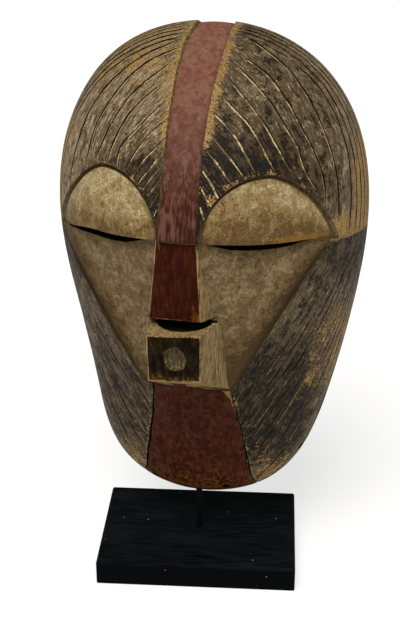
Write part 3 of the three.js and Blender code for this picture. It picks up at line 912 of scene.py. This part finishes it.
def blockTool(block, finish, seed):
    # a wedge from a front face to a wider root, with worn edges around the front
    bm = bmesh.new()
    cube = bmesh.ops.create_cube(bm, size=2)["verts"]
    for vert in cube:
        z, front, halves, rootZ, root, rootHalf = block["top"] if vert.co.z > 0 else block["foot"]
        onRight = vert.co.x > 0
        if vert.co.y < 0:
            vert.co = (halves[1] if onRight else -halves[0], -front, z + block["rise"] * onRight)
        else:
            vert.co = (copysign(rootHalf, vert.co.x), -root, rootZ)
    bmesh.ops.recalc_face_normals(bm, faces=bm.faces)
    frontFace = max(bm.faces, key=lambda face: -face.calc_center_median().y)
    paintFaces(bm.faces, "sideWood")
    paintFaces([frontFace], finish)
    bmesh.ops.subdivide_edges(bm, edges=bm.edges, cuts=block["cuts"], use_grid_fill=True)
    bm.normal_update()
    for vert in bm.verts:
        push = block["wander"] * (stray(vert.co, 16, seed) + 0.4 * stray(vert.co, 6, seed + 2))
        vert.co += vert.normal * push
    painted = slotOf[finish]
    border = [edge for edge in bm.edges if len(edge.link_faces) == 2
              and (edge.link_faces[0].material_index == painted)
              != (edge.link_faces[1].material_index == painted)]
    paintFaces(easeEdges(bm, border, block["edge"], 3, clamp_overlap=True), "wornEdge")
    return closeUp(bm)


def philtrumTool():
    # between the nose and the mouth: a wedge with a dark hollow at its inner end, black paint in the dip
    # and painted shade on its root deep under the nose
    outer = mouth["top"][1] + philtrum["proud"]
    inner = nose["foot"][1] - philtrum["depth"]
    roof = nose["foot"][0]
    reach = nose["foot"][5] + 5
    width = sum(mouth["top"][2])

    def away(x, row):
        # 1 on the edge of the dark hollow
        return hypot((x - philtrum["dipMiddle"]) / philtrum["dipReach"], (1 - row) / philtrum["dipShare"])

    def placeAt(column, row, lift):
        depth = lerp(outer, inner, row)
        x = lerp(-reach, reach, column)
        edge = mouth["top"][0] + mouth["rise"] * (x / width + 0.5) - 0.2
        z = lerp(roof - philtrum["rise"], edge, (depth - inner) / (mouth["top"][1] - inner))
        z -= philtrum["dip"] * ease(-away(x, row), -1.05, -0.7)
        return Vector((x, -depth, lift or z))

    def finish(column, row):
        return "darkCut" if away(lerp(-reach, reach, column), row) < 1 else "sideWood"

    bm = slabTool(philtrum["columns"], philtrum["rows"], placeAt, roof, finish, "sideWood")
    paintFaces([face for face in bm.faces if face.calc_center_median().y > -inner - 1], "darkCut")
    return bm


def bowlTool():
    # a ragged bowl in the mouth block's front
    across, high, deep = mouth["bowl"]
    bm = bmesh.new()
    bmesh.ops.create_icosphere(bm, subdivisions=5, radius=1)
    for vert in bm.verts:
        uneven = 0.13 * stray(vert.co, 0.5, 7) + 0.05 * stray(vert.co, 0.2, 1)
        ragged = 1 + mouth["bowlRagged"] * uneven
        vert.co = Vector((vert.co.x * across, vert.co.y * deep, vert.co.z * high)) * ragged
    tilt = atan2(mouth["top"][1] - mouth["foot"][1], mouth["top"][0] - mouth["foot"][0])
    depth = (mouth["top"][1] + mouth["foot"][1]) / 2
    height = (mouth["top"][0] + mouth["foot"][0] + mouth["rise"]) / 2
    place = Matrix.Translation((mouth["bowlAside"], -depth, height)) @ Matrix.Rotation(tilt, 4, "X")
    bmesh.ops.transform(bm, matrix=place, verts=bm.verts)
    paintFaces(bm.faces, "bowlWood")
    return closeUp(bm)


def pinTool(radius, start, end, finish, segments=24):
    axis = Vector(end) - Vector(start)
    bm = uprightBar(radius, -axis.length / 2, axis.length / 2, segments)
    turn = axis.to_track_quat("Z", "Y").to_matrix().to_4x4()
    middle = (Vector(start) + Vector(end)) / 2
    bmesh.ops.transform(bm, matrix=Matrix.Translation(middle) @ turn, verts=bm.verts)
    paintFaces(bm.faces, finish)
    return closeUp(bm)


def familyTree(curves):
    # Points along a family of neighbouring curves, each with how far across the family it is, how
    # far along its curve, and the two directions. Between two curves there are three more.
    parts, gap = 4, 1.5  # rows to a curve, and the millimetres that count as one row to the next
    rows = []
    for curve, following in zip(curves, curves[1:] + curves[-1:]):
        for part in range(parts):
            mixed = [between(zip(*pair), part / parts) for pair in zip(curve, following)]
            rows.append([eggPoint(z, radians(angle)) for z, angle in mixed])
    rows = rows[:1 - parts]
    spots = []
    for i, row in enumerate(rows):
        run = 0.0
        sideways = rows[min(i + 1, len(rows) - 1)], rows[max(i - 1, 0)]
        for k, point in enumerate(row):
            run += (point - row[k - 1]).length if k else 0
            ahead = (row[min(k + 1, len(row) - 1)] - row[max(k - 1, 0)]).normalized()
            off = sideways[0][k] - sideways[1][k]
            off -= ahead * off.dot(ahead)
            count = min(i + 1, len(rows) - 1) - max(i - 1, 0)
            spots.append((point, gap * i, run, off * gap * count / max(off.length_squared, 0.5), ahead))
    tree = kdtree.KDTree(len(spots))
    for i, spot in enumerate(spots):
        tree.insert(spot[0], i)
    tree.balance()
    return tree, spots


def placeInFamily(family, place):
    # how far across the family and how far along its curves a place is, in millimetres
    tree, spots = family
    total = across = run = 0
    for _, i, distance in tree.find_n(place, 4):
        point, spotAcross, spotRun, sideways, ahead = spots[i]
        weight = 1 / (distance + 0.3) ** 2
        total += weight
        across += weight * (spotAcross + (place - point).dot(sideways))
        run += weight * (spotRun + (place - point).dot(ahead))
    return across / total, run / total


def evenly(anchors, count=40):
    # a curve through a few (height, angle) places, as a set number of places in degrees
    path = curveThrough(anchors, 2)
    picked = [path[round(i * (len(path) - 1) / (count - 1))] for i in range(count)]
    return [(z, degrees(angle)) for z, angle in picked]


def grooveFamilies(side):
    # the ones above the brow and the ones below it
    name, count, onRim = half(side), grooves["jawCount"], grooves["jawRim"]
    brow = [evenly(rimPath(side, share)) for share in sorted(grooves["rimShares"][name])]
    brow += [evenly([(z, side * angle) for z, angle in anchors]) for anchors in grooves[name]]
    jaw = [evenly(jawPath(side, i / (count - 1))) for i in range(count)]
    jaw += [evenly(jawRimPath(side, i / onRim)) for i in range(onRim)]
    return familyTree(brow), familyTree(jaw)


def bareAt(x, z, angle):
    # how far the paint has gone from the wood
    brow = browAt(x)
    onRight = x > 0
    if z < brow:
        low = 0.5 * fall(z, 15, 70) * ease(abs(angle), 28, 45)
        beside = 0.35 * fall(abs(x) - abs(panelX(x, z)), 0, 6) if z < 112 else 0
        middle = 0.4 * ease(z, 80, 120) * fall(z, 150, 200) * ease(abs(angle), 45, 60) * onRight
        # wood shows beyond the panel's round corner
        corner = hypot(max(x - 15, 0) / 15.6, max(z - 96.5, 0) / 17)
        if corner > 0.95 and 0 < x < panelX(1, z):
            return ease(corner, 0.95, 1.07) * ease(z, 92, 98)
        return max(low, beside, middle)
    beside = abs(x) - bandEdge(1 if onRight else -1, z)
    high = (0.1 if onRight else 0.3) + 0.7 * ease(z, 278, 300)
    bare = (0.72 if onRight else 0.62) * high * fall(beside, 2, 11 if onRight else 9)
    around = (lidReach(x, z) - 1) * lid["rise"]
    bare = max(bare, 0.3 * fall(around, 2, 9) * ease(z, brow + 12, brow + 30))
    if onRight:
        patch = 0.9 * ease(angle, 62, 78) * fall(z, 262 + 0.9 * (angle - 70), 292 + (angle - 70))
        patch = max(patch, ease(x, 86, 94) * fall(z - brow - 0.4 * (x - 90), 6, 16))
    else:
        patch = max(0.6 * ease(-angle, 54, 66) * fall(z, 280, 320), 0.4 * ease(z, 300, 335))
    return max(bare, patch)


def darkAt(x, z, angle):
    # how heavy the black paint is: heaviest low beside the band and thinning towards the crown, where the
    # lighter paint is partly painted light from above
    onRight = 1 if x > 0 else 0
    out = abs(angle)
    if z < browAt(x):
        low = (0.3 if onRight else 0.12) * ease(z, 25, 60)
        low *= fall(z, 90, 200) * fall(out, 55, 80)
        return 0.4 + low + (0.2 if onRight else 0.45) * ease(z, 170, 226)
    dark = 0.12 + 0.6 * fall(z, 250, 320) * fall(out, 20, 60)
    return dark + onRight * (0.3 - 0.25 * ease(out, 55, 78))


def rawAt(x, z, angle):
    # how much of a groove's lit wall is raw wood
    out = abs(angle)
    if x < 0:
        return 0.35 + 0.3 * ease(out, 9, 18) * fall(out, 48, 64) * fall(z, 325, 350)
    return 0.45 + 0.3 * fall(z, 250, 275) * fall(out, 15, 30)


def paleAndLitAt(x, z):
    # paler high on the lids and in the middle of the cheeks: thicker clay there, and painted light where
    # the lids' tops and the cheeks' middles face the light
    brow = browAt(x)
    if z > brow - 0.5:
        across = lidAcross(x)
        height = (z - brow) / lid["rise"]
        if x > 0:
            return max(0.2 + 0.26 * ease(height, 0, 0.7), 0.55 * ease(height + 0.75 * across, 0.65, 1))
        return 0.33 + 0.26 * ease(height, 0.05, 0.7)
    up = (z - cheek["jawCorner"][1]) / (cheek["eyeCorner"][1] - cheek["jawCorner"][1])
    outer = lerp(cheek["jawCorner"][0], cheek["eyeCorner"][0], up)
    inward = clamp(min((outer - abs(x)) / 16, (brow - z) / 12))
    return 0.22 + 0.3 * inward - (0.2 * fall(z, 130, 175) if x > 0 else 0)


def rubbedAt(x, z):
    # where the paint is rubbed: low on the lids, the nose's lower right, the foot of the mouth and
    # of the chin
    if z > browAt(x) and abs(x) > 16:
        share = 0.6 if x < 0 else ease(lidAcross(x), -0.3, 0.2)
        return share * fall(z - browAt(x), 3.5, 7)
    if z > 171:
        return ease(x - 0.35 * (z - 171), 1, 11) * fall(z, 171, 200) if z < mask["browHeight"] else 0
    if z > 128:
        return fall(z - 0.12 * abs(x), 131, 142)
    return fall(z, 8, 46)


def markPlaces(body):
    # what the finishes need to know about each point of the mask
    families = {side: grooveFamilies(side) for side in (-1, 1)}
    names = ("bareWood", "dark", "raw", "pale", "rubbed", "across", "along")
    values = {name: [0.0] * len(body.data.vertices) for name in names}
    for i, vert in enumerate(body.data.vertices):
        x, _, z = vert.co
        angle = degrees(eggAngle(x, z))
        family = families[-1 if x < 0 else 1][0 if z > browAt(x) else 1]
        found = (bareAt(x, z, angle), darkAt(x, z, angle), rawAt(x, z, angle), paleAndLitAt(x, z), rubbedAt(x, z),
                 *placeInFamily(family, vert.co))
        for name, value in zip(names, found):
            values[name][i] = value
    for name in names:
        body.data.attributes.new(name, "FLOAT", "POINT").data.foreach_set("value", values[name])


def dropScraps(body):
    # the cuts leave thin scraps loose, and only the mask itself stays
    bm = bmesh.new()
    bm.from_mesh(body.data)
    loose, largest = set(bm.verts), set()
    while loose:
        found = [loose.pop()]
        part = set(found)
        while found:
            vert = found.pop()
            near = {edge.other_vert(vert) for edge in vert.link_edges} & loose
            loose -= near
            part |= near
            found += near
        largest = max(largest, part, key=len)
    bmesh.ops.delete(bm, geom=[vert for vert in bm.verts if vert not in largest], context="VERTS")
    bm.to_mesh(body.data)
    bm.free()


def carveMask():
    body = asPiece("carvedMask", blankMesh(), finishes)
    print("blank made", len(body.data.polygons))
    for makeTool in (backTool, hollowTool, grooveTools, panelLines):
        carve(body, makeTool())
    print("hollow and grooves cut", len(body.data.polygons))
    for side in (-1, 1):
        carve(body, cheekTool(side))
        carve(body, recessTool(side))
        carve(body, lidTool(side), "UNION")
    carve(body, bandTool())
    print("cheeks, lids and band cut", len(body.data.polygons))
    carve(body, noseBed())
    carve(body, blockTool(nose, "noseRed", 3), "UNION")
    carve(body, blockTool(mouth, "mouthDark", 9), "UNION")
    carve(body, philtrumTool())
    carve(body, bowlTool())
    # the rod's hole and the tying holes below are lined with near-black painted shade
    back = maskPlace.inverted()
    drill = [back @ Vector((0, 0, z / 1000)) for z in (0, rodHole["top"])]
    carve(body, pinTool(rodHole["radius"], *drill, "darkCut"))
    for side in (-1, 1):
        carve(body, slitTool(side))
    for x, z in tyingHoles["places"]:
        angle = eggAngle(x, z)
        inward = eggNormal(z, angle)
        inward.y = -0.15
        inward.normalize()
        start = eggPoint(z, angle)
        reach = inward * tyingHoles["reach"] / 2
        carve(body, pinTool(tyingHoles["radius"], start - reach, start + reach, "darkCut", 12))
    dropScraps(body)
    print("nose, mouth and holes made", len(body.data.polygons))
    return body


def paintByPlace(body):
    # the chin panel lies in the blank's own surface, between its two lines, and the nose's root is
    # bare inside the hollow
    for face in body.data.polygons:
        x, _, z = face.center
        if face.material_index == slotOf["sideWood"] and face.normal.y > 0.5:
            face.material_index = slotOf["bareInside"]
        inside = z < panel["top"] and panelX(-1, z) < x < panelX(1, z)
        if inside and face.material_index == slotOf["blackPaint"] and face.normal.y < 0:
            face.material_index = slotOf["chinRed"]


# The mask's finishes

paint = {
    "ochre": (152, 122, 72), "ochreDeep": (100, 74, 38), "dust": (166, 148, 116),
    "greyBrown": (118, 101, 76), "umber": (70, 56, 37), "black": (22, 18, 11), "cream": (206, 188, 144),
    "stain": (74, 52, 24), "bloodDeep": (40, 10, 3),
}
paint = {name: tone(*values) for name, values in paint.items()}
maskTurn = (radians(mask["leanBack"]), 0, radians(mask["turnLeft"]))


def maskFinish(name, roughness, gloss=0.12):
    return Finish(name, roughness, turn=maskTurn, gloss=gloss)


def blackPaint(name):
    # Black paint worn to a dusty grey brown, with ochre wood showing through in streaks that
    # follow the grooves
    made = maskFinish(name, 0.6)
    fine = made.strands(0.75, 9, 3, 0.6)
    streak = made.strands(2.1, 8)
    blotch = made.noise(9, 5, 0.68, warp=0.5)
    speck = made.noise(1.3, 3, 0.72)
    # the dark attribute lightens the forehead towards the crown, partly as painted light from above
    dark, bare = made.drawn("dark"), made.drawn("bareWood")
    wood = made.cover(paint["ochreDeep"], paint["ochre"], 0.42, 0.56, (fine, 0.3), (speck, 0.7))
    thin = made.cover(paint["umber"], paint["greyBrown"], 0.41, 0.51,
                      (fine, 0.42), (streak, 0.33), (speck, 0.25), (dark, -0.1))
    thin = made.cover(thin, paint["dust"], 0.53, 0.6, (fine, 0.55), (speck, 0.45), (dark, -0.06))
    soot = made.cover(paint["black"], tone(72, 54, 31), 0.31, 0.39,
                      (fine, 0.4), (speck, 0.3), (blotch, -0.3), (streak, 0.2))
    colour = made.cover(thin, soot, 0.64, 0.7, (blotch, 0.3), (streak, 0.4), (fine, 0.3), (dark, 0.34))
    colour = made.cover(colour, wood, 0.6, 0.66, (streak, 0.1), (speck, 0.35), (blotch, 0.55), (bare, 0.3))
    # painted shade deep in the corners
    made.shadeCorners(colour, paint["black"], 4, 0.6)
    made.rough(blotch, 0.5, 0.8)
    return made.relief((speck, 0.25), (fine, 0.3), (streak, 0.35))


def kaolin(name, light, middle, deep, rubbed=None):
    # white clay, rubbed thin and stained
    made = maskFinish(name, 0.75)
    cloud = made.noise(9, 4, 0.6, warp=0.4)
    mottle = made.noise(3.6, 4, 0.66, warp=0.4)
    speck = made.noise(1.5, 4, 0.7)
    drip = made.noise(1.8, 4, 0.6, (1, 1, 4.5))
    # the pale attribute also carries painted light on the lids' tops and the cheeks' middles
    pale = made.drawn("pale")
    level = made.total((cloud, 0.3), (mottle, 0.35), (speck, 0.22), (drip, 0.13), (pale, 0.3))
    colour = made.mix(made.fade(level, 0.58, 0.61), deep, middle)
    colour = made.mix(made.fade(level, 0.65, 0.69), colour, light)
    crust = made.calc("MULTIPLY", made.veins(3.4, 0.045), made.fade(pale, 0, 1, 0.1, 0.6))
    colour = made.mix(crust, colour, light)
    colour = made.cover(colour, paint["stain"], 0.48, 0.53, (speck, 0.6), (mottle, 0.4), (pale, -0.08),
                        most=0.6)
    colour = made.mix(made.calc("MULTIPLY", made.veins(4.2, 0.03), 0.6), colour, paint["stain"])
    if rubbed:
        worn = made.mix(drip, paint["stain"], rubbed)
        colour = made.cover(colour, worn, 0.6, 0.68, (drip, 0.5), (made.drawn("rubbed"), 0.5), most=0.8)
    # painted shade deep in the corners
    made.shadeCorners(colour, paint["umber"], 7, 0.8)
    made.rough(mottle, 0.65, 0.85)
    return made.relief((speck, 0.25), (mottle, 0.35))


def bandRose(name):
    # red earth down the forehead: dusty and lighter at the crown, the lightness partly painted light where
    # the band turns up to the light; darker and redder towards the nose, with a grey bloom in long streaks
    made = maskFinish(name, 0.65)
    streak = made.noise(1.5, 4, 0.6, (1, 1, 14))
    wide = made.noise(3.6, 4, 0.6, (1, 1, 9))
    cloud = made.noise(9, 4, 0.6, (1, 1, 2.6))
    fine = made.noise(1.4, 4, 0.7, (1, 1, 2))
    low = made.cover(tone(46, 15, 6), tone(82, 42, 28), 0.42, 0.6, (streak, 1))
    high = made.cover(tone(102, 58, 43), tone(130, 92, 74), 0.38, 0.62,
                      (wide, 0.6), (cloud, 0.3), (fine, 0.1))
    # lighter up the band: dusty paint, and partly painted light on its upturned top
    colour = made.mix(made.fade(made.height(), 290, 395), low, high)
    colour = made.cover(colour, tone(114, 90, 77), 0.5, 0.57, (cloud, 0.45), (wide, 0.35), (streak, 0.2),
                        most=0.4)
    colour = made.cover(colour, tone(84, 32, 18), 0.52, 0.6, (wide, 0.6), (fine, 0.4), most=0.4)
    colour = made.cover(colour, tone(52, 19, 7), 325, 275, (made.height(), 1), (streak, 60), most=0.85)
    # painted shade deep in the corners
    made.shadeCorners(colour, tone(34, 14, 8), 4, 0.7)
    made.rough(cloud, 0.55, 0.8)
    return made.relief((streak, 0.25), (fine, 0.15))


def redPaint(name, light, deep, worn, sizes=(2.4, 8), bloom=0.0):
    # dark red, brushed down the grain and rubbed through where hands go
    made = maskFinish(name, 0.7, 0.04)
    streak = made.noise(sizes[0], 5, 0.62, (1, 1, 6))
    cloud = made.noise(sizes[1], 4, 0.62)
    fine = made.noise(1.8, 4, 0.72)
    colour = made.cover(deep, light, 0.4, 0.6, (streak, 0.6), (cloud, 0.4))
    if bloom:
        colour = made.cover(colour, tone(112, 82, 66), 0.46, 0.64, (cloud, 0.6), (fine, 0.4), most=bloom)
    colour = made.cover(colour, worn, 0.59, 0.7, (fine, 0.6), (streak, 0.4), (made.drawn("rubbed"), 0.15),
                        most=0.75)
    if name == "chinRed":  # bare wood in the panel's upper corner
        wood = made.mix(streak, paint["stain"], tone(150, 122, 76))
        colour = made.cover(colour, wood, 0.45, 0.6, (made.drawn("bareWood"), 1))
    # painted shade deep in the corners
    made.shadeCorners(colour, tone(16, 8, 4), 4, 0.7)
    made.rough(cloud, 0.5, 0.75)
    return made.relief((streak, 0.25), (fine, 0.15))


def woodFinish(name, light, deep, grainSize=1.8, dark=None, darkShare=0.0):
    made = maskFinish(name, 0.7)
    grain = made.noise(grainSize, 5, 0.62, (1, 1, 8))
    blotch = made.noise(5, 5, 0.68)
    colour = made.cover(deep, light, 0.4, 0.6, (grain, 0.65), (blotch, 0.35))
    if dark:
        colour = made.cover(colour, dark, 0.42, 0.6, (blotch, 1), most=darkShare)
    # painted shade deep in the corners
    made.shadeCorners(colour, paint["umber"], 5, 0.65)
    made.rough(grain, 0.6, 0.8)
    return made.relief((grain, 0.3))


def litCut(name):
    # the upper-facing wall of a groove: raw wood in long stretches, paint in others
    made = maskFinish(name, 0.65)
    stretch = made.noise(13, 3, 0.6)
    fine = made.noise(2, 3, 0.7)
    raw = made.cover(tone(150, 122, 74), paint["cream"], 0.4, 0.6, (fine, 1))
    painted = made.mix(fine, paint["umber"], paint["greyBrown"])
    made.colour(made.cover(painted, raw, 0.67, 0.74, (stretch, 1), (fine, 0.1), (made.drawn("raw"), 0.3)))
    return made.relief((fine, 0.2))


def jawCut(name):
    made = maskFinish(name, 0.65)
    stretch = made.strands(5, 6)
    fine = made.noise(2, 3, 0.7)
    raw = made.cover(paint["umber"], paint["greyBrown"], 0.4, 0.6, (fine, 1))
    made.colour(made.cover(paint["black"], raw, 0.44, 0.58, (stretch, 0.8), (fine, 0.2)))
    return made.relief((fine, 0.2))


# near-black: painted shade on groove walls that face down, in the slits and holes and deep under the nose,
# and black paint in the hollow over the mouth
def darkCut(name):
    made = maskFinish(name, 0.8, 0.05)
    fine = made.noise(1.5, 3, 0.6)
    made.colour(made.cover(tone(6, 5, 3), tone(26, 20, 12), 0.4, 0.75, (fine, 1)))
    return made.relief((fine, 0.2))


# the mask's finishes, in the order of its material slots
recipes = {
    "blackPaint": (blackPaint,),
    "eyelid": (kaolin, tone(172, 154, 115), tone(130, 108, 68), tone(92, 67, 32), tone(160, 116, 48)),
    "cheek": (kaolin, tone(134, 116, 84), tone(98, 80, 51), tone(66, 49, 24)),
    "bandRose": (bandRose,),
    "noseRed": (redPaint, tone(60, 23, 8), paint["bloodDeep"], tone(124, 72, 24)),
    "mouthDark": (redPaint, tone(36, 25, 11), tone(8, 4, 0), tone(96, 66, 22), (3, 6)),
    "chinRed": (redPaint, tone(68, 32, 18), tone(46, 16, 6), tone(104, 66, 26), (3, 7), 0.12),
    "sideWood": (woodFinish, tone(148, 126, 84), tone(94, 74, 42)),
    "litCut": (litCut,),
    "jawCut": (jawCut,),
    "darkCut": (darkCut,),
    "bareInside": (woodFinish, tone(120, 92, 58), tone(76, 54, 32), 2.2, tone(44, 33, 22), 0.7),
    "oldStep": (woodFinish, tone(104, 88, 54), tone(52, 42, 24)),
    "wornEdge": (woodFinish, tone(150, 126, 82), tone(70, 50, 24), 3),
    "bowlWood": (woodFinish, tone(132, 118, 78), tone(58, 46, 22), 1.6, tone(28, 20, 9), 0.6),
}
slotOf = {name: i for i, name in enumerate(recipes)}
finishes = [make(name, *values) for name, (make, *values) in recipes.items()]
carved = carveMask()
paintByPlace(carved)
markPlaces(carved)
settle(carved, maskPlace, 32)
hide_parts("mask")
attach(carved, "root")
print("mask made", sum(len(face.vertices) - 2 for face in carved.data.polygons), "triangles")

# The stand

base = {"width": 152.4, "depth": 103.5, "height": 21, "ease": 2.6, "edge": 1, "socket": 12,
        "socketRadius": 2.8}
rod = {"radius": 2.5, "top": 370.8, "foot": 9, "chamfer": 0.4, "segments": 40}


def makeBase():
    bm = bmesh.new()
    cube = bmesh.ops.create_cube(bm, size=1)["verts"]
    bmesh.ops.scale(bm, vec=(base["width"], base["depth"], base["height"]), verts=cube)
    bmesh.ops.translate(bm, vec=(0, 0, base["height"] / 2), verts=cube)
    top = [edge for edge in bm.edges if all(vert.co.z > base["height"] / 2 for vert in edge.verts)]
    easeEdges(bm, top, base["ease"], 4)
    easeEdges(bm, sharpEdges(bm), base["edge"], 3)
    closeUp(bm)
    stained = Finish("stainedWood", 0.7, gloss=0.03)
    grain = stained.noise(1.4, 6, 0.62, (14, 1, 1))
    pores = stained.noise(0.7, 3, 0.6, (18, 1, 1))
    smoke = stained.noise(26, 3, 0.5, (2, 1, 1))
    colour = stained.cover(tone(2, 3, 4), tone(16, 19, 20), 0.35, 0.68, (grain, 1))
    colour = stained.cover(colour, tone(25, 28, 29), 0.45, 0.7, (smoke, 1), most=0.3)
    # the sides below the top are near-black, darker than the top: painted shade where they face away from
    # the light above
    colour = stained.mix(stained.fade(stained.height(), 17, 20), tone(2, 3, 5), colour)
    colour = stained.mix(stained.calc("MULTIPLY", stained.edges(1.2), 0.4), colour, tone(40, 42, 44))
    dust = stained.cells(11)
    colour = stained.cover(colour, tone(150, 150, 146), 0.055, 0.035, (dust, 1), most=0.7)
    stained.colour(colour)
    stained.rough(grain, 0.6, 0.8)
    stained.relief((grain, 0.35), (pores, 0.2))
    board = asPiece("stainedBase", bm, [stained.material])
    hole = uprightBar(base["socketRadius"], base["height"] - base["socket"] - 0.3, base["height"] + 0.7,
                      rod["segments"])
    carve(board, closeUp(hole))
    return settle(board, Matrix.Scale(0.001, 4), 40)


def makeRod():
    bm = uprightBar(rod["radius"], rod["foot"], rod["top"], rod["segments"])
    easeEdges(bm, sharpEdges(bm), rod["chamfer"], 2)
    steel = Finish("blackSteel", 0.5, gloss=0.12)
    peel = steel.noise(0.8, 3, 0.55)
    scuff = steel.noise(5, 5, 0.7, (1, 1, 5))
    steel.colour(steel.cover(tone(9, 9, 10), tone(28, 28, 30), 0.5, 0.72, (scuff, 1)))
    steel.rough(scuff, 0.38, 0.6)
    steel.relief((peel, 0.05))
    return settle(asPiece("steelRod", closeUp(bm), [steel.material]), Matrix.Scale(0.001, 4), 40)


for piece, node, slotName in ((makeBase(), "base", "stained_wood"), (makeRod(), "rod", "black_steel")):
    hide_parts(node)
    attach(piece, "root")
print("stand made")
